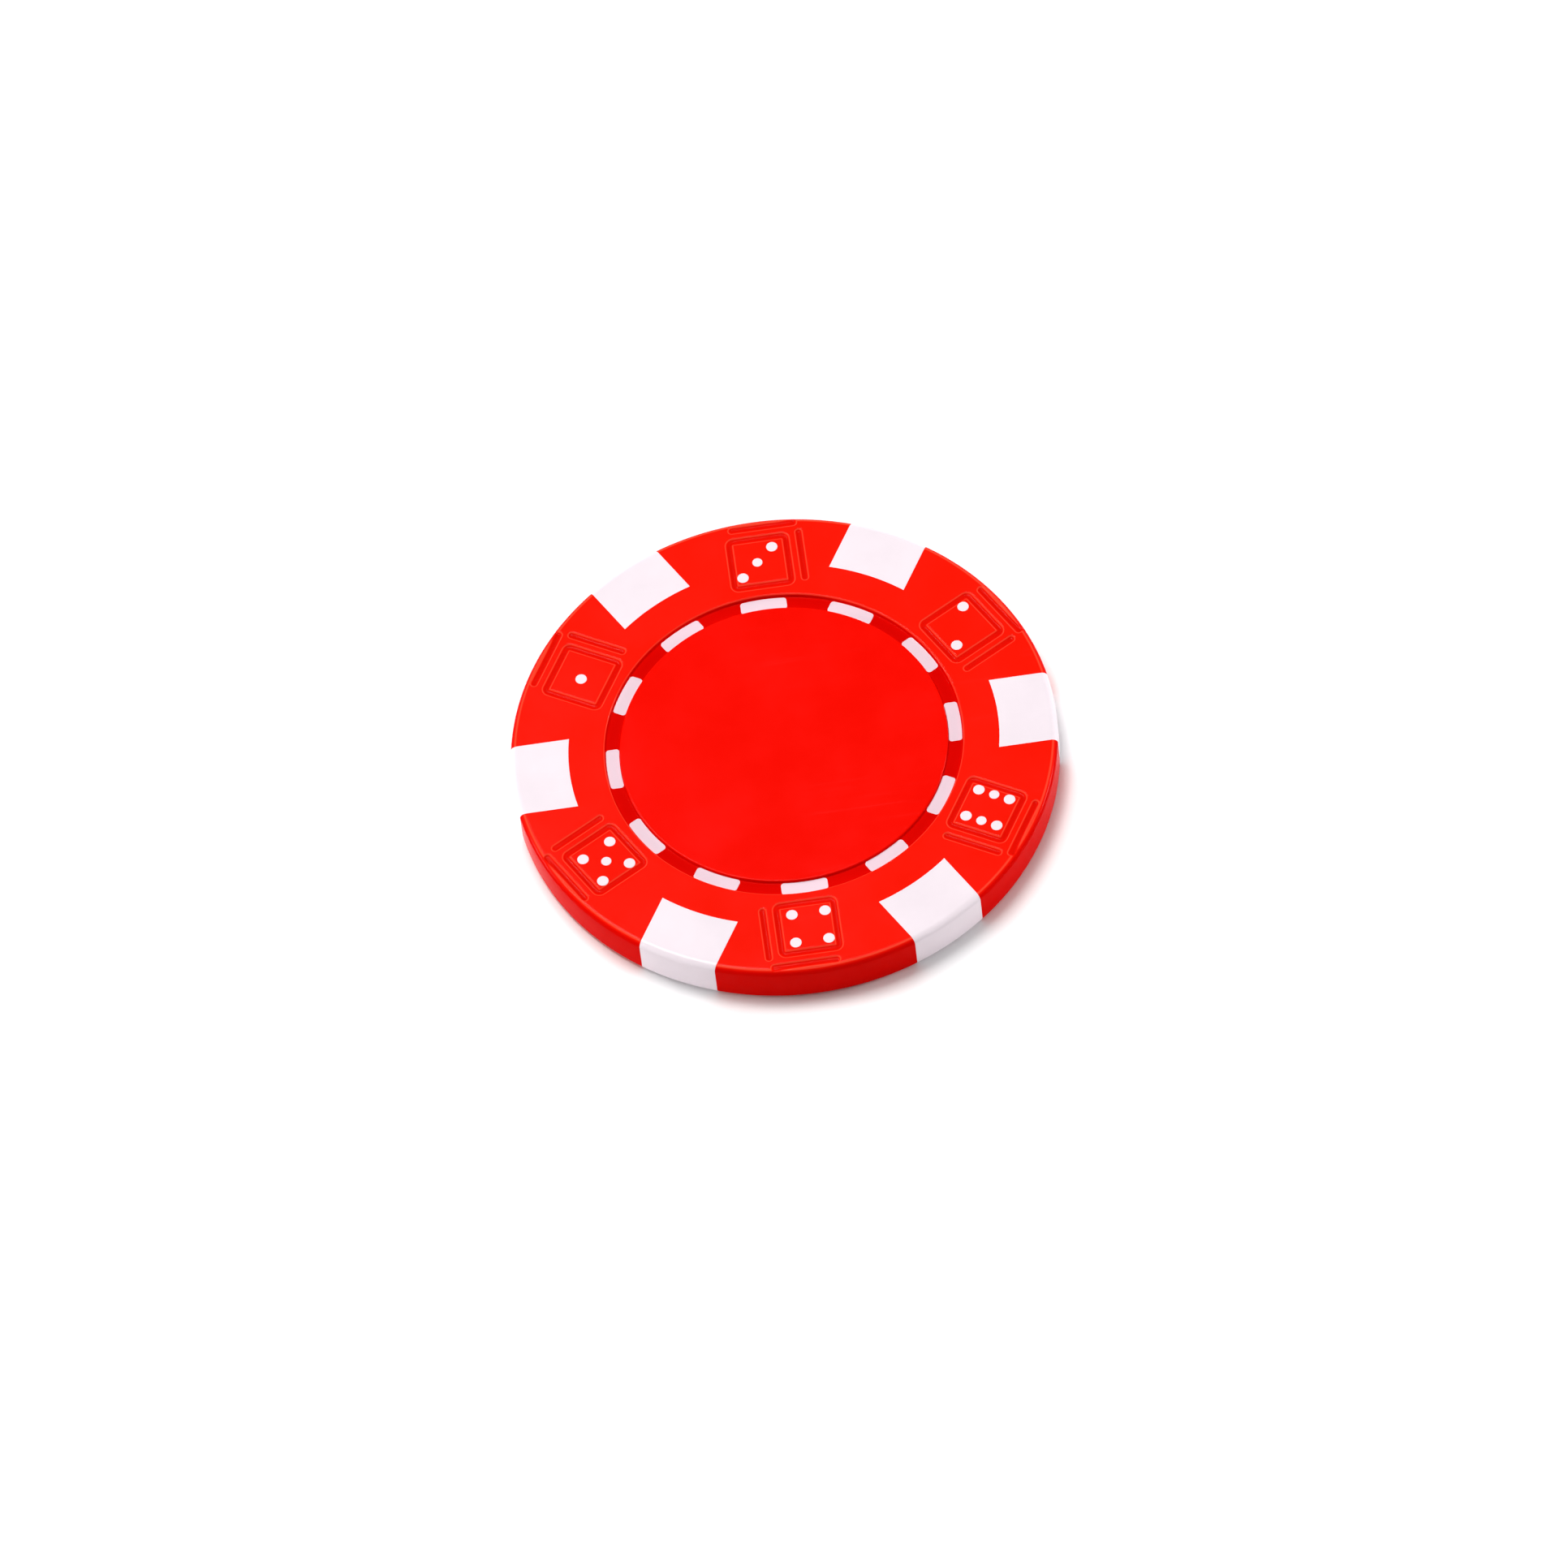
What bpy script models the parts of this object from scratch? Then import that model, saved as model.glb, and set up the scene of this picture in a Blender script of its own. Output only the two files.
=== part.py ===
"""Golf ball marker made like a weighted chip: a steel slug, gripped by a white moulding
that carries every white mark, inside a red moulding that makes the rest of the disc.

Units are metres. The chip lies flat with the centre of its lower face at the origin
and +Z up. The die with three pips points along +Y.
"""

import math

import bmesh
import bpy
from mathutils import Matrix, Vector

MM = 0.001

# Overall disc
DIAMETER = 40.0 * MM
THICKNESS = 3.3 * MM
EDGE_RADIUS = 0.5 * MM
TURN_STEPS = 84
EDGE_STEPS = 2

# Ring groove on each face, with the label disc inside it
GROOVE_INNER_RADIUS = 12.0 * MM
GROOVE_OUTER_RADIUS = 13.1 * MM
GROOVE_DEPTH = 0.3 * MM
LABEL_RECESS = 0.05 * MM

# Steel slug at mid thickness
SLUG_DIAMETER = 30.4 * MM
SLUG_THICKNESS = 1.4 * MM
SLUG_EDGE_BREAK = 0.1 * MM

# White moulding: a ring of C section that grips the slug's edge
LIP_THICKNESS = 0.35 * MM
LIP_INNER_RADIUS = 11.2 * MM
CARRIER_RADIUS = 18.2 * MM

# White edge spots, which run through the whole thickness
SPOT_COUNT = 6
SPOT_WIDTH = 5.94 * MM
SPOT_INNER_RADIUS = 15.75 * MM
SPOT_ARC_STEPS = 4

# White dashes in the ring groove
DASH_COUNT = 12
DASH_INNER_RADIUS = 12.05 * MM
DASH_OUTER_RADIUS = 13.01 * MM
DASH_LENGTH = 3.40 * MM
DASH_CORNER_RADIUS = 0.2 * MM
DASH_ARC_STEPS = 3

# White pips of the dice
DIE_RADIUS = 16.15 * MM
PIP_SPREAD = 1.21 * MM
PIP_DIAMETER = 0.84 * MM
SMALL_PIP_DIAMETER = 0.76 * MM
PIP_SIDES = 10

# Sunk lines round the dice: a square, and two bars beyond it that suggest a cube
LINE_WIDTH = 0.4 * MM
LINE_DEPTH = 0.12 * MM
SQUARE_SIDE = 4.2 * MM
SQUARE_CORNER_RADIUS = 0.3 * MM
SQUARE_SHIFT = 0.2 * MM
BAR_OFFSET = 3.1 * MM
BAR_CORNER_RADIUS = 0.16 * MM
OUTER_BAR_SPAN = (-1.75 * MM, 2.8 * MM)
SIDE_BAR_SPAN = (-1.85 * MM, 2.2 * MM)

# Clearance between neighbouring pieces, and how far a cutter runs past a surface
BOND_GAP = 0.05 * MM
OVERRUN = 1.0 * MM
WELD = 0.001 * MM
SHARP_ANGLE = math.radians(35)

RADIUS = DIAMETER / 2
MID_HEIGHT = THICKNESS / 2
SEAT_TOP = MID_HEIGHT + SLUG_THICKNESS / 2 + BOND_GAP
LIP_TOP = SEAT_TOP + LIP_THICKNESS
MARK_ROOT = SEAT_TOP + LIP_THICKNESS / 2
GROOVE_FLOOR = THICKNESS - GROOVE_DEPTH

# Each die: its direction in degrees, and its pips in spreads (outward, clockwise)
DICE = {
    90: [(1, 1), (0, 0), (-1, -1)],
    30: [(1, -1), (-1, 1)],
    330: [(1, -1), (0, -1), (-1, -1), (1, 1), (0, 1), (-1, 1)],
    270: [(1, -1), (1, 1), (-1, -1), (-1, 1)],
    210: [(1, -1), (1, 1), (0, 0), (-1, -1), (-1, 1)],
    150: [(0, 0)],
}


def clear_scene():
    for thing in list(bpy.data.objects):
        bpy.data.objects.remove(thing)


def new_collection(name):
    collection = bpy.data.collections.new(name)
    bpy.context.scene.collection.children.link(collection)
    return collection


def new_material(name, colour, roughness, metallic):
    material = bpy.data.materials.new(name)
    material.use_nodes = True
    shader = material.node_tree.nodes["Principled BSDF"]
    shader.inputs["Base Color"].default_value = (*colour, 1.0)
    shader.inputs["Roughness"].default_value = roughness
    shader.inputs["Metallic"].default_value = metallic
    material.diffuse_color = (*colour, 1.0)
    return material


def place(name, mesh, collection):
    thing = bpy.data.objects.new(name, mesh)
    collection.objects.link(thing)
    return thing


def baked(thing):
    """The object's evaluated mesh, welded, with the object and its old data removed."""
    bpy.context.view_layer.update()
    evaluated = thing.evaluated_get(bpy.context.evaluated_depsgraph_get())
    mesh = bpy.data.meshes.new_from_object(evaluated)
    mesh.transform(thing.matrix_world)
    bpy.data.objects.remove(thing)
    solid = bmesh.new()
    solid.from_mesh(mesh)
    bmesh.ops.remove_doubles(solid, verts=solid.verts, dist=WELD)
    solid.to_mesh(mesh)
    solid.free()
    return mesh


def turned(name, profile, collection, closed=False):
    """A turned solid from (radius, height) points that run down its outer side."""
    sketch = bmesh.new()
    points = [sketch.verts.new((radius, 0.0, height)) for radius, height in profile]
    for upper, lower in zip(points, points[1:]):
        sketch.edges.new((upper, lower))
    if closed:
        sketch.edges.new((points[-1], points[0]))
    mesh = bpy.data.meshes.new(name)
    sketch.to_mesh(mesh)
    sketch.free()
    thing = place(name, mesh, collection)
    screw = thing.modifiers.new("turn", "SCREW")
    screw.axis = "Z"
    screw.steps = TURN_STEPS
    screw.render_steps = TURN_STEPS
    screw.use_merge_vertices = True
    screw.merge_threshold = WELD
    return place(name, baked(thing), collection)


def prisms(name, outlines, low, high, collection):
    """Upright prisms on flat outlines; an outline inside another one is a hole."""
    curve = bpy.data.curves.new(name, "CURVE")
    curve.dimensions = "2D"
    curve.fill_mode = "BOTH"
    curve.extrude = (high - low) / 2
    for outline in outlines:
        spline = curve.splines.new("POLY")
        spline.points.add(len(outline) - 1)
        spline.use_cyclic_u = True
        for point, corner in zip(spline.points, outline):
            point.co = (corner.x, corner.y, 0.0, 1.0)
    thing = place(name, curve, collection)
    thing.location.z = (high + low) / 2
    return place(name, baked(thing), collection)


def add_other_face(thing):
    """Repeat the bodies on the opposite face, turned half a turn about the Y axis."""
    solid = bmesh.new()
    solid.from_mesh(thing.data)
    copies = bmesh.ops.duplicate(solid, geom=solid.verts[:] + solid.edges[:] + solid.faces[:])
    copied_verts = [item for item in copies["geom"] if isinstance(item, bmesh.types.BMVert)]
    half_turn = Matrix.Rotation(math.pi, 3, "Y")
    bmesh.ops.rotate(solid, verts=copied_verts, cent=(0.0, 0.0, MID_HEIGHT), matrix=half_turn)
    solid.to_mesh(thing.data)
    solid.free()
    return thing


def combine(target, tool, operation):
    modifier = target.modifiers.new(f"{operation.lower()}_{tool.name}", "BOOLEAN")
    modifier.operation = operation
    modifier.solver = "EXACT"
    modifier.object = tool
    tool.hide_render = True
    tool.display_type = "WIRE"


def polar(radius, angle):
    return Vector((radius * math.cos(angle), radius * math.sin(angle)))


def arc(radius, start, end, steps):
    return [polar(radius, start + (end - start) * step / steps) for step in range(steps + 1)]


def in_die_frame(direction, outward, clockwise):
    """Place a point given by its distance outward from the axis and its clockwise offset."""
    along = polar(1.0, direction)
    across = Vector((along.y, -along.x))
    return along * outward + across * clockwise


def rounded_rectangle(low, high, corner_radius, steps=1):
    """Corner points, anticlockwise, of a rectangle with rounded corners."""
    centres = [
        Vector((high.x - corner_radius, high.y - corner_radius)),
        Vector((low.x + corner_radius, high.y - corner_radius)),
        Vector((low.x + corner_radius, low.y + corner_radius)),
        Vector((high.x - corner_radius, low.y + corner_radius)),
    ]
    points = []
    for quarter, centre in enumerate(centres):
        start = quarter * math.pi / 2
        points += [centre + offset for offset in arc(corner_radius, start, start + math.pi / 2, steps)]
    return points


def half_profile_mirrored(upper):
    """Complete a profile of the upper half with its mirror image in the mid plane."""
    lower = [(radius, THICKNESS - height) for radius, height in reversed(upper)]
    return upper + lower


def rim_profile():
    centre_radius = RADIUS - EDGE_RADIUS
    centre_height = THICKNESS - EDGE_RADIUS
    quarter = arc(EDGE_RADIUS, math.pi / 2, 0.0, EDGE_STEPS)
    return [(centre_radius + point.x, centre_height + point.y) for point in quarter]


def spot_outlines(growth):
    """Parallel-sided spots whose inner ends follow a circle about the axis."""
    half_width = SPOT_WIDTH / 2 + growth
    inner_radius = SPOT_INNER_RADIUS - growth
    half_angle = math.asin(half_width / inner_radius)
    outlines = []
    for spot in range(SPOT_COUNT):
        direction = 2 * math.pi * spot / SPOT_COUNT
        inner_end = arc(inner_radius, direction + half_angle, direction - half_angle, SPOT_ARC_STEPS)
        outer_end = [
            in_die_frame(direction, RADIUS + OVERRUN, half_width),
            in_die_frame(direction, RADIUS + OVERRUN, -half_width),
        ]
        outlines.append(inner_end + outer_end)
    return outlines


def dash_outlines(growth):
    """Short arcs with parallel ends and rounded corners, spread round the ring groove."""
    inner = DASH_INNER_RADIUS - growth
    outer = DASH_OUTER_RADIUS + growth
    half_length = DASH_LENGTH / 2 + growth
    corner = DASH_CORNER_RADIUS
    outlines = []
    for dash in range(DASH_COUNT):
        direction = 2 * math.pi * dash / DASH_COUNT
        outer_half_angle = math.asin((half_length - corner) / outer)
        inner_half_angle = math.asin((half_length - corner) / inner)
        outer_shoulder = math.sqrt(outer ** 2 - half_length ** 2) - corner
        inner_shoulder = math.sqrt(inner ** 2 - half_length ** 2) + corner
        outline = arc(outer, direction + outer_half_angle, direction - outer_half_angle, DASH_ARC_STEPS)
        outline.append(in_die_frame(direction, outer_shoulder, half_length))
        outline.append(in_die_frame(direction, inner_shoulder, half_length))
        outline += arc(inner, direction - inner_half_angle, direction + inner_half_angle, DASH_ARC_STEPS)
        outline.append(in_die_frame(direction, inner_shoulder, -half_length))
        outline.append(in_die_frame(direction, outer_shoulder, -half_length))
        outlines.append(outline)
    return outlines


def pip_columns(name, growth, low, high, collection):
    """Round columns under the pips of all six dice."""
    columns = bmesh.new()
    for degrees, pips in DICE.items():
        for outward, clockwise in pips:
            is_small = len(pips) > 1 and outward == 0
            diameter = SMALL_PIP_DIAMETER if is_small else PIP_DIAMETER
            centre = in_die_frame(
                math.radians(degrees),
                DIE_RADIUS + outward * PIP_SPREAD,
                clockwise * PIP_SPREAD,
            )
            bmesh.ops.create_cone(
                columns,
                cap_ends=True,
                segments=PIP_SIDES,
                radius1=diameter / 2 + growth,
                radius2=diameter / 2 + growth,
                depth=high - low,
                matrix=Matrix.Translation((centre.x, centre.y, (high + low) / 2)),
            )
    mesh = bpy.data.meshes.new(name)
    columns.to_mesh(mesh)
    columns.free()
    return place(name, mesh, collection)


def line_outlines():
    """The square and the two bars of every die, as outlines of sunk lines."""
    half_line = Vector((LINE_WIDTH, LINE_WIDTH)) / 2
    half_side = Vector((SQUARE_SIDE, SQUARE_SIDE)) / 2
    outer_corner = SQUARE_CORNER_RADIUS + LINE_WIDTH / 2
    inner_corner = SQUARE_CORNER_RADIUS - LINE_WIDTH / 2
    outer_bar = (Vector((BAR_OFFSET, OUTER_BAR_SPAN[0])), Vector((BAR_OFFSET, OUTER_BAR_SPAN[1])))
    side_bar = (Vector((SIDE_BAR_SPAN[0], BAR_OFFSET)), Vector((SIDE_BAR_SPAN[1], BAR_OFFSET)))
    shapes = [
        rounded_rectangle(-half_side - half_line, half_side + half_line, outer_corner),
        rounded_rectangle(-half_side + half_line, half_side - half_line, inner_corner),
        rounded_rectangle(outer_bar[0] - half_line, outer_bar[1] + half_line, BAR_CORNER_RADIUS),
        rounded_rectangle(side_bar[0] - half_line, side_bar[1] + half_line, BAR_CORNER_RADIUS),
    ]
    outlines = []
    for degrees in DICE:
        direction = math.radians(degrees)
        for shape in shapes:
            outlines.append(
                [in_die_frame(direction, DIE_RADIUS + p.x, SQUARE_SHIFT + p.y) for p in shape]
            )
    return outlines


def build_slug(collection):
    """A plain stamped disc with its sharp edges broken."""
    radius = SLUG_DIAMETER / 2
    top = MID_HEIGHT + SLUG_THICKNESS / 2
    profile = half_profile_mirrored([
        (0.0, top),
        (radius - SLUG_EDGE_BREAK, top),
        (radius, top - SLUG_EDGE_BREAK),
    ])
    return turned("steel_slug", profile, collection)


def build_white_core(collection, cutters):
    """The ring that grips the slug, with its spots, dashes and pips grown on it."""
    seat_radius = SLUG_DIAMETER / 2 + BOND_GAP
    profile = [
        (LIP_INNER_RADIUS, LIP_TOP),
        (CARRIER_RADIUS, LIP_TOP),
        (CARRIER_RADIUS, THICKNESS - LIP_TOP),
        (LIP_INNER_RADIUS, THICKNESS - LIP_TOP),
        (LIP_INNER_RADIUS, THICKNESS - SEAT_TOP),
        (seat_radius, THICKNESS - SEAT_TOP),
        (seat_radius, SEAT_TOP),
        (LIP_INNER_RADIUS, SEAT_TOP),
    ]
    core = turned("white_core", profile, collection, closed=True)

    disc = turned("disc_blank", half_profile_mirrored([(0.0, THICKNESS)] + rim_profile()), cutters)
    spots = prisms("spots", spot_outlines(0.0), -OVERRUN, THICKNESS + OVERRUN, cutters)
    combine(spots, disc, "INTERSECT")
    dashes = add_other_face(prisms("dashes", dash_outlines(0.0), MARK_ROOT, GROOVE_FLOOR, cutters))
    pips = add_other_face(pip_columns("pips", 0.0, MARK_ROOT, THICKNESS, cutters))
    for feature in (spots, dashes, pips):
        combine(core, feature, "UNION")
    return core


def build_red_body(collection, cutters):
    """The disc with its grooves, hollowed for the slug and the white core."""
    label_top = THICKNESS - LABEL_RECESS
    profile = half_profile_mirrored([
        (0.0, label_top),
        (GROOVE_INNER_RADIUS, label_top),
        (GROOVE_INNER_RADIUS, GROOVE_FLOOR),
        (GROOVE_OUTER_RADIUS, GROOVE_FLOOR),
        (GROOVE_OUTER_RADIUS, THICKNESS),
    ] + rim_profile())
    body = turned("red_body", profile, collection)

    hollow_profile = half_profile_mirrored([
        (0.0, SEAT_TOP),
        (LIP_INNER_RADIUS - BOND_GAP, SEAT_TOP),
        (LIP_INNER_RADIUS - BOND_GAP, LIP_TOP + BOND_GAP),
        (CARRIER_RADIUS + BOND_GAP, LIP_TOP + BOND_GAP),
    ])
    hollow = turned("hollow", hollow_profile, cutters)
    above = THICKNESS + OVERRUN
    spot_slots = prisms("spot_slots", spot_outlines(BOND_GAP), -OVERRUN, above, cutters)
    dash_slots = add_other_face(prisms("dash_slots", dash_outlines(BOND_GAP), MARK_ROOT, above, cutters))
    pip_holes = add_other_face(pip_columns("pip_holes", BOND_GAP, MARK_ROOT, above, cutters))
    lines = add_other_face(prisms("die_lines", line_outlines(), THICKNESS - LINE_DEPTH, above, cutters))
    for feature in (hollow, spot_slots, dash_slots, pip_holes, lines):
        combine(body, feature, "DIFFERENCE")
    return body


def finish(thing, material):
    """Keep the finished shape as one mesh, shaded smooth across its round stretches."""
    name = thing.name
    collection = thing.users_collection[0]
    thing.name = name + "_draft"
    mesh = baked(thing)
    mesh.name = name
    mesh.shade_smooth()
    mesh.set_sharp_from_angle(angle=SHARP_ANGLE)
    mesh.materials.clear()
    mesh.materials.append(material)
    return place(name, mesh, collection)


clear_scene()
marker = new_collection("ball_marker")
tools = new_collection("cutters")

steel = new_material("zinc_plated_steel", (0.56, 0.57, 0.58), 0.32, 1.0)
white_plastic = new_material("white_abs", (0.86, 0.84, 0.87), 0.3, 0.0)
red_plastic = new_material("red_abs", (0.78, 0.009, 0.006), 0.28, 0.0)

finish(build_slug(marker), steel)
finish(build_white_core(marker, tools), white_plastic)
finish(build_red_body(marker, tools), red_plastic)
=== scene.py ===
import math

import bmesh
import bpy
from mathutils import Matrix, Vector
from mathutils.geometry import delaunay_2d_cdt


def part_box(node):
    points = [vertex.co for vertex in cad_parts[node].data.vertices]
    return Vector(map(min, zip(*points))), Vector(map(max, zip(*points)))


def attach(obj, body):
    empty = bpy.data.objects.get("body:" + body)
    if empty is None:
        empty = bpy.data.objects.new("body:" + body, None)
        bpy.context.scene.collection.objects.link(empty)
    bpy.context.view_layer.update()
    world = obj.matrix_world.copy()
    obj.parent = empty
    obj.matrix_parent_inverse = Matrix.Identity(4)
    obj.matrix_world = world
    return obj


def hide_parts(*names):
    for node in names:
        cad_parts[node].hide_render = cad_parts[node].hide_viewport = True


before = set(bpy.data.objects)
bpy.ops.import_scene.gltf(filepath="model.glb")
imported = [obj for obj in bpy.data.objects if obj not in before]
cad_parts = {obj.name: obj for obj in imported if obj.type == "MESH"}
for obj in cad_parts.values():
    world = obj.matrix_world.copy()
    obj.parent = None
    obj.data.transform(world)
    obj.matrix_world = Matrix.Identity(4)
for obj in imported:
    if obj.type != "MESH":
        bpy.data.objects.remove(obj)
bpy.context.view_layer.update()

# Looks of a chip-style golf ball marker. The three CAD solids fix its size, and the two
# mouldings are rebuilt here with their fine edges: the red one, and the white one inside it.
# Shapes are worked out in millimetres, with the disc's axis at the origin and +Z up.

MM = 0.001

# ---------------------------------------------------------------- sizes, in millimetres

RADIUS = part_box("red_body")[1].y / MM
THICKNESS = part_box("red_body")[1].z / MM
SLUG_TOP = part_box("steel_slug")[1].z / MM
SLUG_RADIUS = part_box("steel_slug")[1].x / MM

TURN_STEPS = 360            # steps of a full turn
PLAIN_RINGS = ((2.0, 30), (5.0, 72), (8.0, 120), (10.5, 180))  # radius and steps, centre disc
SUPPORT = 0.02              # flat strip kept beside every rounded edge
RIM_ROUNDING = 0.5
RIM_STEPS = 12

LABEL_RADIUS = 12.0         # centre disc
LABEL_HEIGHT = THICKNESS - 0.05
FLOOR_HEIGHT = THICKNESS - 0.3
GROOVE_RADIUS = 13.1        # outer wall of the ring groove
WALL_DRAFT = math.radians(16)
LABEL_EDGE = 0.10           # rounding of each wall at its edge and at its foot
GROOVE_EDGE = 0.14
GROOVE_FOOT = 0.10
EDGE_STEPS = 5
FOOT_STEPS = 3

SPOT_COUNT = 6
SPOT_WIDTH = 5.94
SPOT_INNER_RADIUS = 15.75
SPOT_STEPS = 24

DASH_COUNT = 12
DASH_INNER_RADIUS = 12.05
DASH_OUTER_RADIUS = 13.01
DASH_LENGTH = 3.40
DASH_CORNER = 0.22
DASH_CORNER_STEPS = 6

DIE_RADIUS = 16.15
PIP_SPREAD = 1.21           # distance between neighbouring pips, outward or clockwise
PIP_RADIUS = 0.415
SMALL_PIP_RADIUS = 0.37
PIP_SIDES = 36

LINE_DEPTH = 0.12
LINE_FLOOR = 0.11           # half width of a sunk line's floor
LINE_EDGE = 0.36            # half width where it meets the face
LINE_LOOPS = 8              # loops over the slope of a line
SQUARE_HALF = 2.1
SQUARE_CORNER = 0.32
SQUARE_SHIFT = 0.2          # clockwise, of a die's lines against its pips
BAR_OFFSET = 3.1            # from the square's centre to the line of either bar
OUTER_BAR = (-1.75, 2.8)    # ends of the bar outside the square, clockwise
SIDE_BAR = (-1.85, 2.2)     # ends of the bar beside the square, outward
BAR_STEPS = 12

SLUG_GAP = 0.05
LIP_THICKNESS = 0.35
LIP_INNER_RADIUS = 11.2
CARRIER_RADIUS = 18.2       # outer radius of the ring that grips the slug
SEAT_TOP = SLUG_TOP + SLUG_GAP
LIP_TOP = SEAT_TOP + LIP_THICKNESS
MARK_ROOT = LIP_TOP - LIP_THICKNESS / 2
BOND_GAP = 0.004            # between the two mouldings
OVERRUN = 1.0               # how far a cutter runs past a surface
WELD = 0.0001               # points closer than this are one point
MERGE = 1e-6                # the same, for points of the flat triangulation
SMOOTH_ANGLE = math.radians(28)

# Depths below the face between which the red turns deeper with painted shade, and gains and loses
# a paler painted highlight along the edges
SUNK_DEPTHS = (0.06, 0.175)
HIGHLIGHT_STARTS = (0.004, 0.020)
HIGHLIGHT_ENDS = (0.045, 0.075)

# Each die: its direction in degrees, and its pips in spreads, outward and clockwise
DICE = {
    90: [(1, 1), (0, 0), (-1, -1)],
    30: [(1, -1), (-1, 1)],
    330: [(1, -1), (0, -1), (-1, -1), (1, 1), (0, 1), (-1, 1)],
    270: [(1, -1), (1, 1), (-1, -1), (-1, 1)],
    210: [(1, -1), (1, 1), (0, 0), (-1, -1), (-1, 1)],
    150: [(0, 0)],
}
DIE_DIRECTIONS = [math.radians(degrees) for degrees in DICE]


# ---------------------------------------------------------------- flat outlines

def polar(radius, angle):
    return Vector((radius * math.cos(angle), radius * math.sin(angle)))


def arc(radius, start, end, steps):
    return [polar(radius, start + (end - start) * step / steps) for step in range(steps + 1)]


def ring(radius, steps):
    return arc(radius, 0.0, 2 * math.pi, steps)[:-1]


def outward_and_clockwise(direction):
    outward = polar(1.0, direction)
    return outward, Vector((outward.y, -outward.x))


def placed(direction, outward, clockwise):
    """The point that lies so far out along a direction, and so far clockwise of it."""
    along, across = outward_and_clockwise(direction)
    return along * outward + across * clockwise


def rounded_square(half, radius, steps=8):
    """Anticlockwise outline of a square about the origin with rounded corners."""
    inset = half - radius
    points = []
    for quarter, (x, y) in enumerate(((1, 1), (-1, 1), (-1, -1), (1, -1))):
        start = quarter * math.pi / 2
        centre = Vector((x, y)) * inset
        points += [centre + p for p in arc(radius, start, start + math.pi / 2, steps)]
    return points


def spot_outlines(growth):
    """Outlines of the edge spots, from an arc out past the rim."""
    half_width = SPOT_WIDTH / 2 + growth
    inner = SPOT_INNER_RADIUS - growth
    half_angle = math.asin(half_width / inner)
    outlines = []
    for spot in range(SPOT_COUNT):
        direction = 2 * math.pi * spot / SPOT_COUNT
        outline = arc(inner, direction + half_angle, direction - half_angle, SPOT_STEPS)
        for side in (half_width, -half_width):
            outline.append(placed(direction, RADIUS + OVERRUN, side))
        outlines.append(outline)
    return outlines


def dash_outlines(growth):
    """Short arcs between two circles, with parallel ends and rounded corners."""
    corner = DASH_CORNER + growth
    across = DASH_LENGTH / 2 + growth - corner
    sides = []
    for radius, corner_side in ((DASH_OUTER_RADIUS + growth, -1), (DASH_INNER_RADIUS - growth, 1)):
        centre_radius = radius + corner_side * corner
        along = math.sqrt(centre_radius ** 2 - across ** 2)
        lean = math.asin(across / centre_radius)
        if corner_side < 0:
            start, sweep = lean, math.pi / 2 - lean
        else:
            start, sweep = math.pi + lean, -(math.pi / 2 + lean)
        quarter = []
        for step in range(DASH_CORNER_STEPS + 1):
            turn = start + sweep * (step / DASH_CORNER_STEPS)
            quarter.append((along + corner * math.cos(turn), across + corner * math.sin(turn)))
        middle = [polar(radius, lean * share / 4) for share in range(-3, 4)]
        sides.append(([(p.x, p.y) for p in middle], quarter))
    (outer_middle, outer_corner), (inner_middle, inner_corner) = sides
    half = outer_corner + inner_corner[::-1]
    outline = outer_middle + half + inner_middle[::-1] + [(x, -y) for x, y in reversed(half)]
    directions = [2 * math.pi * dash / DASH_COUNT for dash in range(DASH_COUNT)]
    return [[placed(direction, x, -y) for x, y in outline] for direction in directions]


def pip_outlines(growth):
    """Circles of the pips; a pip between two others is a little smaller."""
    outlines = []
    for direction, pips in zip(DIE_DIRECTIONS, DICE.values()):
        for outward, clockwise in pips:
            is_small = len(pips) > 1 and outward == 0
            radius = (SMALL_PIP_RADIUS if is_small else PIP_RADIUS) + growth
            radial = DIE_RADIUS + outward * PIP_SPREAD
            centre = placed(direction, radial, clockwise * PIP_SPREAD)
            outlines.append([centre + p for p in ring(radius, PIP_SIDES)])
    return outlines


# ---------------------------------------------------------------- relief of one face

def step_down(start_radius, high, edge):
    """Points (radius, height) of a wall falling outward to the groove's floor."""
    low, foot = FLOOR_HEIGHT, GROOVE_FOOT
    lean = math.pi / 2 - WALL_DRAFT
    points = []
    for step in range(EDGE_STEPS + 1):
        turn = lean * step / EDGE_STEPS
        points.append((start_radius + edge * math.sin(turn), high - edge + edge * math.cos(turn)))
    wall_radius, wall_high = points[-1]
    wall_low = low + foot - foot * math.cos(lean)
    run = (wall_high - wall_low) * math.tan(WALL_DRAFT)
    foot_centre = wall_radius + run + foot * math.sin(lean)
    for step in range(FOOT_STEPS + 1):
        turn = lean * (1 - step / FOOT_STEPS)
        points.append((foot_centre - foot * math.sin(turn), low + foot - foot * math.cos(turn)))
    return points


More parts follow.
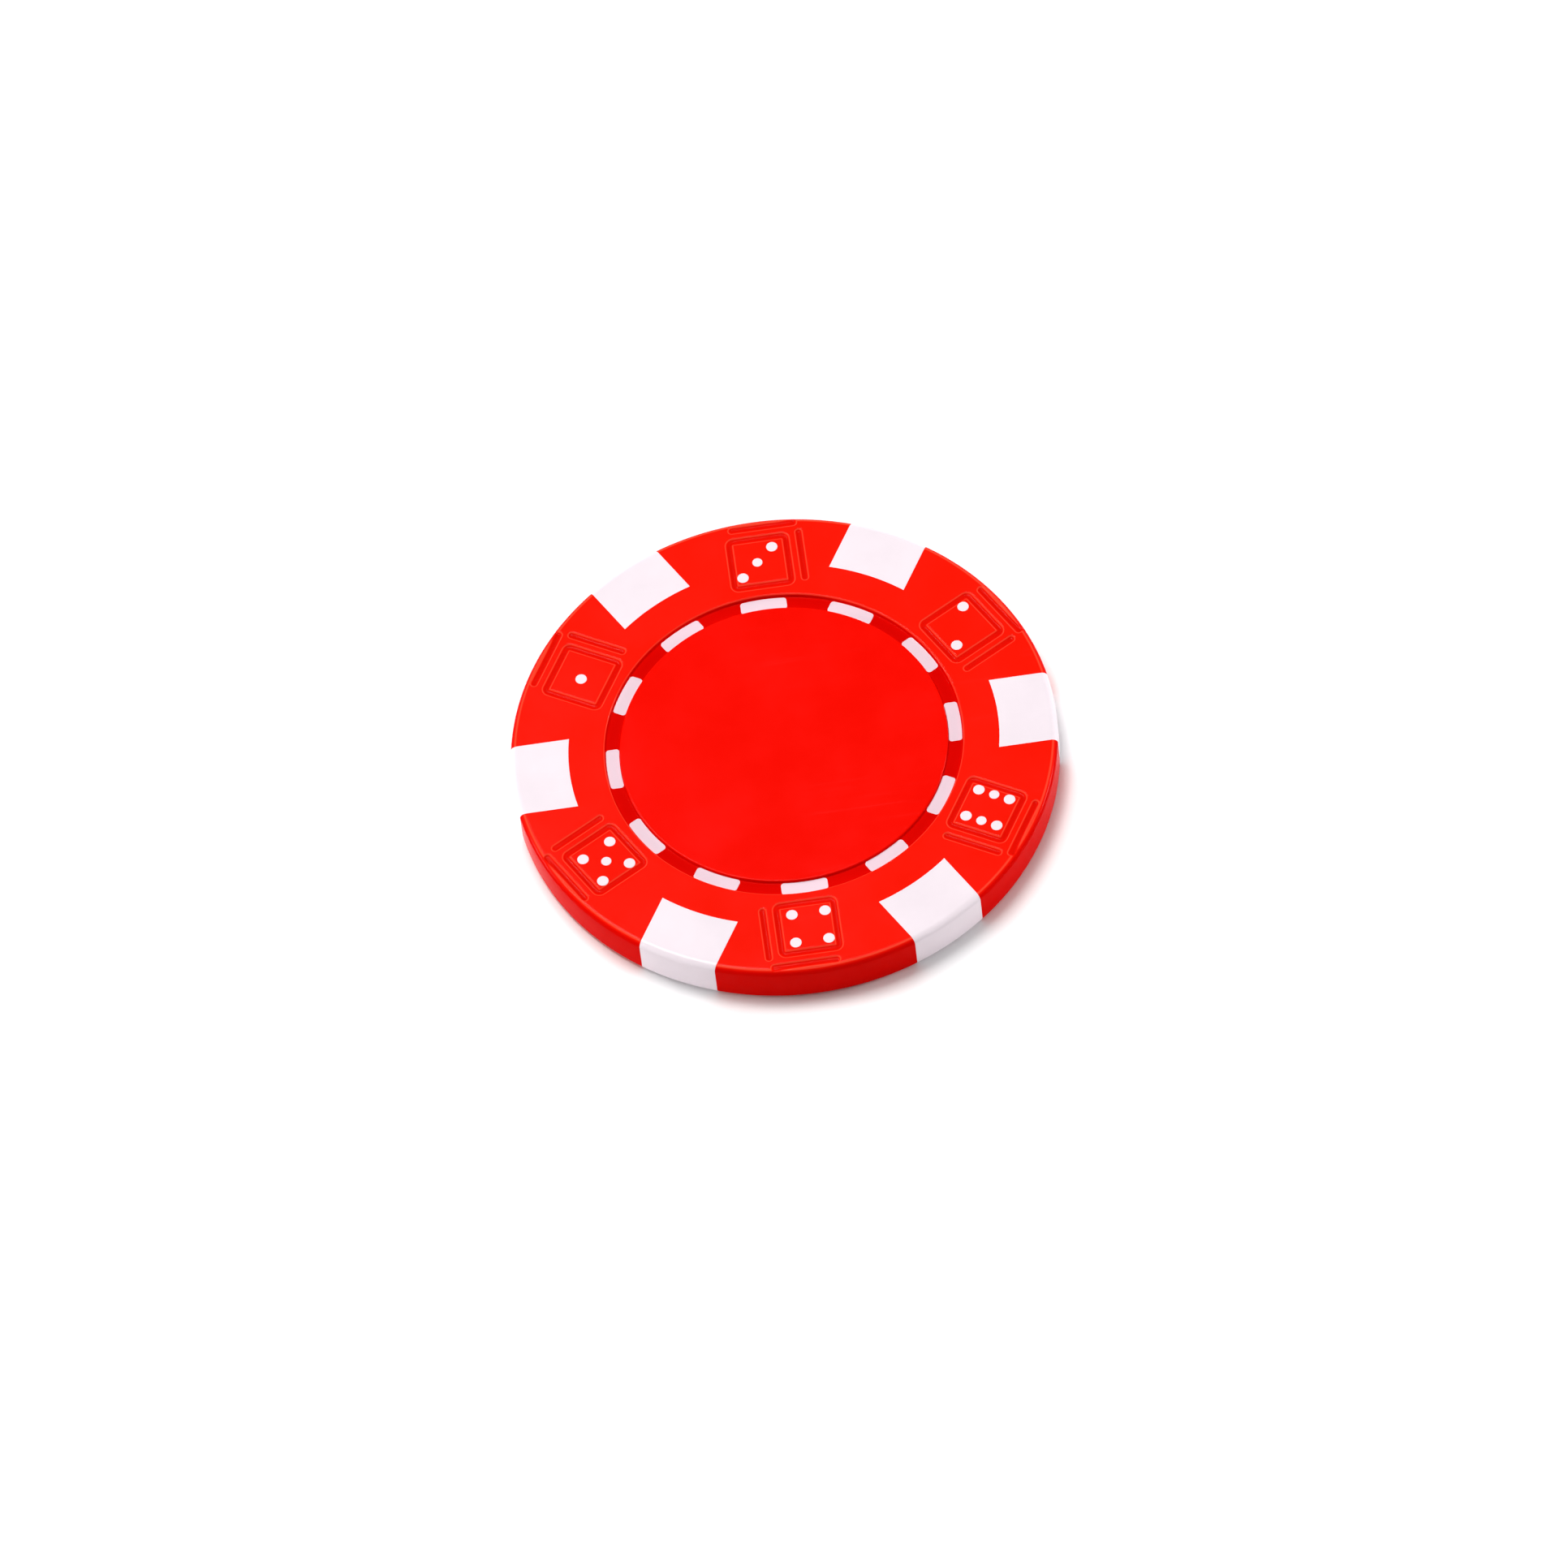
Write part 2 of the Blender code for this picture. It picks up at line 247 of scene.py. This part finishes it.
def face_profile():
    """Points (radius, height) of the face without its dice, from the axis to the rim."""
    inner_wall = step_down(LABEL_RADIUS - LABEL_EDGE, LABEL_HEIGHT, LABEL_EDGE)
    outer_wall = [
        (GROOVE_RADIUS + GROOVE_EDGE - radius, height)
        for radius, height in reversed(step_down(0.0, THICKNESS, GROOVE_EDGE))
    ]
    rounding = []
    for step in range(RIM_STEPS + 1):
        turn = math.pi / 2 * step / RIM_STEPS
        rounding.append((
            RADIUS - RIM_ROUNDING + RIM_ROUNDING * math.sin(turn),
            THICKNESS - RIM_ROUNDING + RIM_ROUNDING * math.cos(turn),
        ))
    profile = [(0.0, LABEL_HEIGHT), (inner_wall[0][0] - SUPPORT, LABEL_HEIGHT)]
    profile += inner_wall + [(inner_wall[-1][0] + SUPPORT, FLOOR_HEIGHT)]
    profile += [(outer_wall[0][0] - SUPPORT, FLOOR_HEIGHT)] + outer_wall
    profile += [(outer_wall[-1][0] + SUPPORT, THICKNESS), (rounding[0][0] - SUPPORT, THICKNESS)]
    return profile + rounding


def height_on(profile, radius):
    for (inner, low), (outer, high) in zip(profile, profile[1:]):
        if radius <= outer:
            return low + (high - low) * (radius - inner) / (outer - inner)
    return profile[-1][1]


def square_distance(outward, clockwise):
    """Distance from a die's square, whose centre is the origin here."""
    inset = SQUARE_HALF - SQUARE_CORNER
    over = Vector((abs(outward) - inset, abs(clockwise) - inset))
    outside = Vector((max(over.x, 0.0), max(over.y, 0.0))).length
    return abs(outside + min(max(over.x, over.y), 0.0) - SQUARE_CORNER)


def bar_distance(along, across, span):
    """Distance from a bar that spans some stretch of one axis."""
    return math.hypot(along - min(max(along, span[0]), span[1]), across)


def line_depth(point):
    """Depth of the sunk lines at a point of the face."""
    nearest = min(DIE_DIRECTIONS, key=lambda each: (point - polar(DIE_RADIUS, each)).length)
    along, across = outward_and_clockwise(nearest)
    outward = point.dot(along) - DIE_RADIUS
    clockwise = point.dot(across) - SQUARE_SHIFT
    distance = min(
        square_distance(outward, clockwise),
        bar_distance(clockwise, outward - BAR_OFFSET, OUTER_BAR),
        bar_distance(outward, clockwise - BAR_OFFSET, SIDE_BAR),
    )
    share = min(max((LINE_EDGE - distance) / (LINE_EDGE - LINE_FLOOR), 0.0), 1.0)
    return LINE_DEPTH * share * share * (3 - 2 * share)


def bar_loop(low_end, high_end, offset, start):
    """Loop at a distance from a bar, whose far end's half circle begins at the start angle."""
    turned_back = start + math.pi
    far = [high_end + p for p in arc(offset, start, turned_back, BAR_STEPS)]
    return far + [low_end + p for p in arc(offset, turned_back, start + 2 * math.pi, BAR_STEPS)]


def die_loops():
    """Loops at rising distances from the lines of every die, where the relief bends."""
    slope = LINE_EDGE - LINE_FLOOR
    offsets = [LINE_FLOOR + slope * step / LINE_LOOPS for step in range(LINE_LOOPS + 1)]
    offsets.append(LINE_EDGE + SUPPORT)
    outer_ends = [Vector((BAR_OFFSET, end)) for end in OUTER_BAR]
    side_ends = [Vector((end, BAR_OFFSET)) for end in SIDE_BAR]
    shapes = []
    for offset in offsets:
        for side in (offset, -offset):
            corner = max(SQUARE_CORNER + side, SUPPORT / 4)
            shapes.append(rounded_square(SQUARE_HALF + side, corner))
        shapes.append(bar_loop(*outer_ends, offset, 0.0))
        shapes.append(bar_loop(*side_ends, offset, -math.pi / 2))
    return [
        [placed(direction, DIE_RADIUS + p.x, SQUARE_SHIFT + p.y) for p in shape]
        for direction in DIE_DIRECTIONS for shape in shapes
    ]


def face_sheet():
    """Points and triangles of the upper face, from the axis out to the full radius."""
    profile = face_profile()
    loops = [ring(radius, TURN_STEPS) for radius, height in profile[1:]]
    loops += [ring(radius, steps) for radius, steps in PLAIN_RINGS]
    loops += die_loops()
    flat_points = [Vector((0.0, 0.0))]
    edges = []
    for loop in loops:
        first = len(flat_points)
        flat_points += loop
        edges += [(first + i, first + (i + 1) % len(loop)) for i in range(len(loop))]
    found, _, triangles, _, _, _ = delaunay_2d_cdt(flat_points, edges, [], 0, MERGE)
    points = []
    for p in found:
        points.append(Vector((*p, height_on(profile, p.length) - line_depth(p))))
    return points, triangles


# ---------------------------------------------------------------- solids

def on_other_face(point):
    """The same place on the lower face: half a turn about the Y axis at mid thickness."""
    return Vector((-point.x, point.y, THICKNESS - point.z))


def new_object(name, points, faces):
    """A closed mesh with its doubled points welded and its faces turned outward."""
    mesh = bpy.data.meshes.new(name)
    mesh.from_pydata(points, [], faces)
    solid = bmesh.new()
    solid.from_mesh(mesh)
    bmesh.ops.remove_doubles(solid, verts=solid.verts, dist=WELD)
    bmesh.ops.recalc_face_normals(solid, faces=solid.faces)
    solid.to_mesh(mesh)
    solid.free()
    thing = bpy.data.objects.new(name, mesh)
    bpy.context.scene.collection.objects.link(thing)
    return thing


def turn_step(point):
    """Which step of the full turn a point lies at."""
    return round(math.atan2(point.y, point.x) * TURN_STEPS / (2 * math.pi)) % TURN_STEPS


def disc_blank():
    """The whole disc with the relief of both faces and nothing let into it."""
    upper, triangles = face_sheet()
    count = len(upper)
    points = upper + [on_other_face(p) for p in upper]
    faces = [list(t) for t in triangles] + [[i + count for i in t] for t in triangles]
    rims = []
    for half in (range(count), range(count, 2 * count)):
        rim = [i for i in half if points[i].xy.length > RADIUS - WELD]
        rims.append(sorted(rim, key=lambda i: turn_step(points[i])))
    for i, (top, bottom) in enumerate(zip(*rims)):
        faces.append([rims[0][i - 1], top, bottom, rims[1][i - 1]])
    return new_object("disc_blank", points, faces)


def prisms(name, outlines, low, high, both_faces=False):
    """One upright prism to each outline, repeated on the lower face if asked."""
    points = []
    faces = []
    for outline in outlines:
        for turned_over in ((False, True) if both_faces else (False,)):
            first = len(points)
            count = len(outline)
            body = [Vector((p.x, p.y, height)) for height in (low, high) for p in outline]
            points += [on_other_face(p) for p in body] if turned_over else body
            faces.append(list(range(first, first + count)))
            faces.append(list(range(first + count, first + 2 * count)))
            for i in range(count):
                j = (i + 1) % count
                faces.append([first + i, first + j, first + count + j, first + count + i])
    return new_object(name, points, faces)


def turned(name, profile):
    """A closed profile of (radius, height) points turned about the axis."""
    points = []
    faces = []
    for step in range(TURN_STEPS):
        turn = 2 * math.pi * step / TURN_STEPS
        points += [Vector((*polar(radius, turn), height)) for radius, height in profile]
    count = len(profile)
    for step in range(TURN_STEPS):
        this, following = step * count, (step + 1) % TURN_STEPS * count
        for i in range(count):
            j = (i + 1) % count
            faces.append([this + i, this + j, following + j, following + i])
    return new_object(name, points, faces)


def combine(target, operation, tool):
    """Boolean of two closed meshes, applied; the tool is used up."""
    modifier = target.modifiers.new(operation, "BOOLEAN")
    modifier.operation = operation
    modifier.solver = "MANIFOLD"
    modifier.object = tool
    bpy.context.view_layer.update()
    evaluated = target.evaluated_get(bpy.context.evaluated_depsgraph_get())
    result = bpy.data.meshes.new_from_object(evaluated)
    target.modifiers.remove(modifier)
    old_mesh = target.data
    target.data = result
    bpy.data.meshes.remove(old_mesh)
    bpy.data.objects.remove(tool)


def inlays(name, growth):
    """Prisms of every spot, dash and pip, which run out past the faces and the rim."""
    top = THICKNESS + OVERRUN
    spots = prisms(name, spot_outlines(growth), -OVERRUN, top)
    for outlines in (dash_outlines(growth), pip_outlines(growth)):
        combine(spots, "UNION", prisms("marks", outlines, MARK_ROOT, top, both_faces=True))
    return spots


def mirrored_profile(upper):
    """A closed profile: its upper half, and the mirror image of that below mid thickness."""
    return upper + [(radius, THICKNESS - height) for radius, height in reversed(upper)]


def build_white():
    """The ring that grips the slug, with its spots, dashes and pips grown on it."""
    white = disc_blank()
    white.name = "white_moulding"
    combine(white, "INTERSECT", inlays("inlays", 0.0))
    section = mirrored_profile([
        (SLUG_RADIUS + SLUG_GAP, SEAT_TOP),
        (LIP_INNER_RADIUS, SEAT_TOP),
        (LIP_INNER_RADIUS, LIP_TOP),
        (CARRIER_RADIUS, LIP_TOP),
    ])
    combine(white, "UNION", turned("carrier", section))
    return white


def build_red():
    """The disc hollowed for the slug and the white moulding."""
    red = disc_blank()
    red.name = "red_moulding"
    window = LIP_INNER_RADIUS - BOND_GAP
    hollow = turned("hollow", mirrored_profile([
        (0.0, SEAT_TOP),
        (window, SEAT_TOP),
        (window, LIP_TOP + BOND_GAP),
        (CARRIER_RADIUS + BOND_GAP, LIP_TOP + BOND_GAP),
    ]))
    combine(hollow, "UNION", inlays("slots", BOND_GAP))
    combine(red, "DIFFERENCE", hollow)
    return red


def finish_piece(piece, material, node):
    piece.data.transform(Matrix.Scale(MM, 4))
    piece.data.shade_smooth()
    piece.data.set_sharp_from_angle(angle=SMOOTH_ANGLE)
    piece.data.materials.clear()
    piece.data.materials.append(material)
    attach(piece, "root")
    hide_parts(node)


# ---------------------------------------------------------------- materials

LABEL_RED = (0.845, 0.0028, 0.0002)
RING_RED = (0.865, 0.0075, 0.0015)
# painted highlight: a paler red laid along every edge of the ring
PAINTED_HIGHLIGHT_RED = (0.90, 0.052, 0.024)
# painted shade: a deeper red laid in the ring groove and down the rim wall, and partly in the sunk
# lines
PAINTED_SHADE_RED = (0.68, 0.0012, 0.0002)
# partly painted shade and painted red bounce light from the groove walls, which make the dashes
# darker and pinker than the spots; partly the white's own slight translucency
DASH_WHITE_PAINTED_SHADE_AND_BOUNCE = (0.84, 0.66, 0.74)
SPOT_WHITE = (0.84, 0.745, 0.795)
STEEL_DULL = (0.50, 0.51, 0.53)
STEEL_BRIGHT = (0.62, 0.63, 0.64)
FLOOR_PALE = (0.95, 0.95, 0.95)
FLOOR_PALER = (0.96, 0.96, 0.96)
GRAIN_DEPTH = 0.5e-6        # metres


def add_node(tree, kind, inputs=None, **settings):
    """A shader node with its settings; an input is a value or another node's output."""
    node = tree.nodes.new(kind)
    for name, value in settings.items():
        setattr(node, name, value)
    for name, value in (inputs or {}).items():
        if isinstance(value, bpy.types.NodeSocket):
            tree.links.new(value, node.inputs[name])
        else:
            node.inputs[name].default_value = value
    return node


def new_material(name):
    material = bpy.data.materials.new(name)
    material.use_nodes = True
    return material, material.node_tree, material.node_tree.nodes["Principled BSDF"]


def noise(tree, where, scale, detail=3.0, roughness=0.5):
    inputs = {"Vector": where, "Scale": scale, "Detail": detail, "Roughness": roughness}
    return add_node(tree, "ShaderNodeTexNoise", inputs).outputs["Fac"]


def remap(tree, value, from_low, from_high, to_low, to_high):
    inputs = {
        "Value": value, "From Min": from_low, "From Max": from_high,
        "To Min": to_low, "To Max": to_high,
    }
    return add_node(tree, "ShaderNodeMapRange", inputs).outputs["Result"]


def maths(tree, operation, *values):
    node = add_node(tree, "ShaderNodeMath", dict(enumerate(values)), operation=operation)
    return node.outputs[0]


def mix_colour(tree, share, first, second):
    """Mix of two colours, each a triple or another node's output."""
    node = add_node(tree, "ShaderNodeMix", {"Factor": share}, data_type="RGBA")
    for index, colour in ((6, first), (7, second)):
        if isinstance(colour, bpy.types.NodeSocket):
            tree.links.new(colour, node.inputs[index])
        else:
            node.inputs[index].default_value = (*colour, 1.0)
    return node.outputs[2]


def scuffs(tree, where, turn, length_scale, width_scale):
    """Thin parallel hairlines, faded in patches."""
    mapped = add_node(tree, "ShaderNodeMapping", {
        "Vector": where,
        "Rotation": (0.0, 0.0, turn),
        "Scale": (length_scale, width_scale, length_scale),
    }).outputs["Vector"]
    hairlines = remap(tree, noise(tree, mapped, 1.0, 2.0), 0.66, 0.74, 0.0, 1.0)
    patches = remap(tree, noise(tree, where, 160.0, 2.0), 0.5, 0.62, 0.0, 1.0)
    return maths(tree, "MULTIPLY", hairlines, patches)


def add_bump(tree, shader, height, strength, distance):
    inputs = {"Height": height, "Strength": strength, "Distance": distance}
    bump = add_node(tree, "ShaderNodeBump", inputs)
    tree.links.new(bump.outputs["Normal"], shader.inputs["Normal"])


def inside_out(tree, where, inside, outside):
    """One colour within the ring groove's outer wall, and another beyond it."""
    without_height = {0: where, 1: (1.0, 1.0, 0.0)}
    flat = add_node(tree, "ShaderNodeVectorMath", without_height, operation="MULTIPLY")
    length = add_node(tree, "ShaderNodeVectorMath", {0: flat.outputs[0]}, operation="LENGTH")
    edge = GROOVE_RADIUS * MM
    soft = GROOVE_EDGE * MM
    beyond = remap(tree, length.outputs["Value"], edge - soft, edge + soft, 0.0, 1.0)
    return mix_colour(tree, beyond, inside, outside)


def depth_below_face(tree, where):
    """Depth below the nearer of the two faces, in metres."""
    height = add_node(tree, "ShaderNodeSeparateXYZ", {"Vector": where}).outputs["Z"]
    return maths(tree, "MINIMUM", maths(tree, "SUBTRACT", THICKNESS * MM, height), height)


def over_depths(tree, depth, depths, start, end):
    """A value that goes from start to end between two depths."""
    shallow, deep = depths
    return remap(tree, depth, shallow * MM, deep * MM, start, end)


def plastic_shader(name, choose_colour, gloss, face_shine, rim_shine):
    """Moulded plastic with a fine eroded grain, slow mottling and a few hairline scuffs."""
    material, tree, shader = new_material(name)
    where = add_node(tree, "ShaderNodeTexCoord").outputs["Object"]
    mottling = noise(tree, where, 220.0, 4.0, 0.6)
    grain = noise(tree, where, 9000.0, 3.0, 0.6)
    first = scuffs(tree, where, 0.5, 60.0, 5200.0)
    second = scuffs(tree, where, 2.1, 80.0, 6100.0)
    scuff = maths(tree, "MAXIMUM", first, second)
    light = choose_colour(tree, where)
    dark = mix_colour(tree, 0.04, light, (0.0, 0.0, 0.0))
    colour = mix_colour(tree, remap(tree, mottling, 0.35, 0.65, 0.0, 1.0), dark, light)
    tree.links.new(colour, shader.inputs["Base Color"])
    base_rough = remap(tree, mottling, 0.3, 0.7, gloss - 0.03, gloss + 0.04)
    rough = maths(tree, "MULTIPLY_ADD", scuff, 0.12, base_rough)
    tree.links.new(rough, shader.inputs["Roughness"])
    height = maths(tree, "MULTIPLY_ADD", scuff, -0.5, grain)
    add_bump(tree, shader, height, 1.0, GRAIN_DEPTH)
    shine = over_depths(tree, depth_below_face(tree, where), SUNK_DEPTHS, face_shine, rim_shine)
    tree.links.new(shine, shader.inputs["Specular IOR Level"])
    return material


def red_colour(tree, where):
    """Red with a painted highlight, a touch paler, along every edge of the ring, and painted
    shade, a deeper red, in sunk places and down the rim wall.
    """
    depth = depth_below_face(tree, where)
    # painted highlight: a paler red along the edges, between two pairs of depths below the face
    highlight_gained = over_depths(tree, depth, HIGHLIGHT_STARTS, 0.0, 1.0)
    highlight_kept = over_depths(tree, depth, HIGHLIGHT_ENDS, 1.0, 0.0)
    ring_face_highlighted = mix_colour(tree, maths(tree, "MULTIPLY", highlight_gained, highlight_kept), RING_RED, PAINTED_HIGHLIGHT_RED)
    face = inside_out(tree, where, LABEL_RED, ring_face_highlighted)
    # painted shade: the red turns deeper below the sunk depths, in the groove and down the rim
    # wall, and partly in the sunk lines
    return mix_colour(tree, over_depths(tree, depth, SUNK_DEPTHS, 0.0, 1.0), face, PAINTED_SHADE_RED)


def white_colour(tree, where):
    # the dashes get the darker, pinker white: painted shade and painted red bounce light in the
    # groove, and partly the white's own translucency
    return inside_out(tree, where, DASH_WHITE_PAINTED_SHADE_AND_BOUNCE, SPOT_WHITE)


def red_plastic():
    return plastic_shader("red_moulded_plastic", red_colour, 0.14, 0.045, 0.008)


def white_plastic():
    return plastic_shader("white_moulded_plastic", white_colour, 0.16, 0.2, 0.05)


def slug_steel():
    """Zinc-plated stamping: bright metal with rolling lines and dull crystal patches."""
    material, tree, shader = new_material("plated_steel")
    where = add_node(tree, "ShaderNodeTexCoord").outputs["Object"]
    mapping = {"Vector": where, "Scale": (120.0, 6000.0, 120.0)}
    stretched = add_node(tree, "ShaderNodeMapping", mapping).outputs["Vector"]
    rolling = noise(tree, stretched, 1.0, 3.0)
    crystals = add_node(tree, "ShaderNodeTexVoronoi", {"Vector": where, "Scale": 900.0})
    shade = add_node(tree, "ShaderNodeRGBToBW", {"Color": crystals.outputs["Color"]}).outputs[0]
    colour = mix_colour(tree, shade, STEEL_DULL, STEEL_BRIGHT)
    tree.links.new(colour, shader.inputs["Base Color"])
    tree.links.new(remap(tree, rolling, 0.3, 0.7, 0.26, 0.42), shader.inputs["Roughness"])
    add_bump(tree, shader, rolling, 0.6, 2e-6)
    shader.inputs["Metallic"].default_value = 1.0
    return material


def pale_floor():
    material, tree, shader = new_material("pale_floor")
    where = add_node(tree, "ShaderNodeTexCoord").outputs["Object"]
    colour = mix_colour(tree, noise(tree, where, 3.0), FLOOR_PALE, FLOOR_PALER)
    tree.links.new(colour, shader.inputs["Base Color"])
    shader.inputs["Roughness"].default_value = 0.9
    shader.inputs["Specular IOR Level"].default_value = 0.0
    return material


# ---------------------------------------------------------------- the object

red = build_red()
white = build_white()
finish_piece(red, red_plastic(), "red_body")
finish_piece(white, white_plastic(), "white_core")

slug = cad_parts["steel_slug"]
slug.data.materials.clear()
slug.data.materials.append(slug_steel())


# ---------------------------------------------------------------- camera, floor and light

# In metres and degrees. The camera stands far off, looks through a long lens and is rolled a
# little.
CAMERA_DISTANCE = 1.2323
CAMERA_ELEVATION = 56.06
CAMERA_BEARING = -90.77
CAMERA_ROLL = math.radians(7.37)
CAMERA_LENS = 388.2         # millimetres
AIM_BELOW_CENTRE = 0.002819

FLOOR_SIDE = 12.0
LAMP_DISTANCE = 1.0

# Each lamp: name, bearing, elevation, side of its square, and watts
LAMPS = (
    ("key", 121.0, 70.0, 0.45, 8.6),
    ("overhead", -90.0, 84.0, 0.8, 1.9),
    ("left", 170.0, 7.0, 0.22, 5.2),
    ("right", 10.0, 8.0, 0.22, 5.3),
)

# The sky's strength falls from the first value to the second between these two heights on the
# unit sphere.
SKY_HEIGHTS = (0.1, 0.6)
SKY_STRENGTHS = (0.74, 0.05)


def unit_vector(bearing, elevation):
    """Direction out from the marker, given by two angles in degrees."""
    flat = polar(math.cos(math.radians(elevation)), math.radians(bearing))
    return Vector((*flat, math.sin(math.radians(elevation))))


def photo_camera():
    back = unit_vector(CAMERA_BEARING, CAMERA_ELEVATION)
    level = Vector((0.0, 0.0, 1.0)).cross(back).normalized()
    rise = back.cross(level)
    up = rise * math.cos(CAMERA_ROLL) + level * math.sin(CAMERA_ROLL)
    centre = Vector((0.0, 0.0, FLOOR_HEIGHT * MM))
    data = bpy.data.cameras.new("photo_camera")
    data.lens = CAMERA_LENS
    data.sensor_width = 36.0
    data.clip_end = 100.0
    camera = bpy.data.objects.new("photo_camera", data)
    bpy.context.scene.collection.objects.link(camera)
    camera.location = centre + back * CAMERA_DISTANCE
    forward = (centre - up * AIM_BELOW_CENTRE - camera.location).normalized()
    right = forward.cross(up).normalized()
    true_up = right.cross(forward)
    rotation = Matrix((right, true_up, -forward)).transposed()
    camera.rotation_euler = rotation.to_euler()
    bpy.context.scene.camera = camera


def soft_box(name, bearing, elevation, size, power):
    """A square area light that faces the marker."""
    data = bpy.data.lights.new(name, "AREA")
    data.size = size
    data.energy = power
    lamp = bpy.data.objects.new(name, data)
    bpy.context.scene.collection.objects.link(lamp)
    towards = unit_vector(bearing, elevation)
    lamp.location = towards * LAMP_DISTANCE
    lamp.rotation_euler = towards.to_track_quat("Z", "Y").to_euler()


def pale_stage():
    bpy.ops.mesh.primitive_plane_add(size=FLOOR_SIDE)
    floor = bpy.context.object
    floor.name = "floor"
    floor.data.materials.append(pale_floor())


def pale_world():
    """Bright round the horizon, like the foot of a white sweep, and dim overhead."""
    world = bpy.data.worlds.new("studio")
    world.use_nodes = True
    tree = world.node_tree
    background = tree.nodes["Background"]
    direction = add_node(tree, "ShaderNodeTexCoord").outputs["Generated"]
    rise = add_node(tree, "ShaderNodeSeparateXYZ", {"Vector": direction}).outputs["Z"]
    background.inputs["Color"].default_value = (1.0, 1.0, 1.0, 1.0)
    strength = remap(tree, rise, *SKY_HEIGHTS, *SKY_STRENGTHS)
    tree.links.new(strength, background.inputs["Strength"])
    bpy.context.scene.world = world


photo_camera()
pale_stage()
pale_world()
for lamp in LAMPS:
    soft_box(*lamp)
bpy.context.scene.view_settings.view_transform = "Standard"
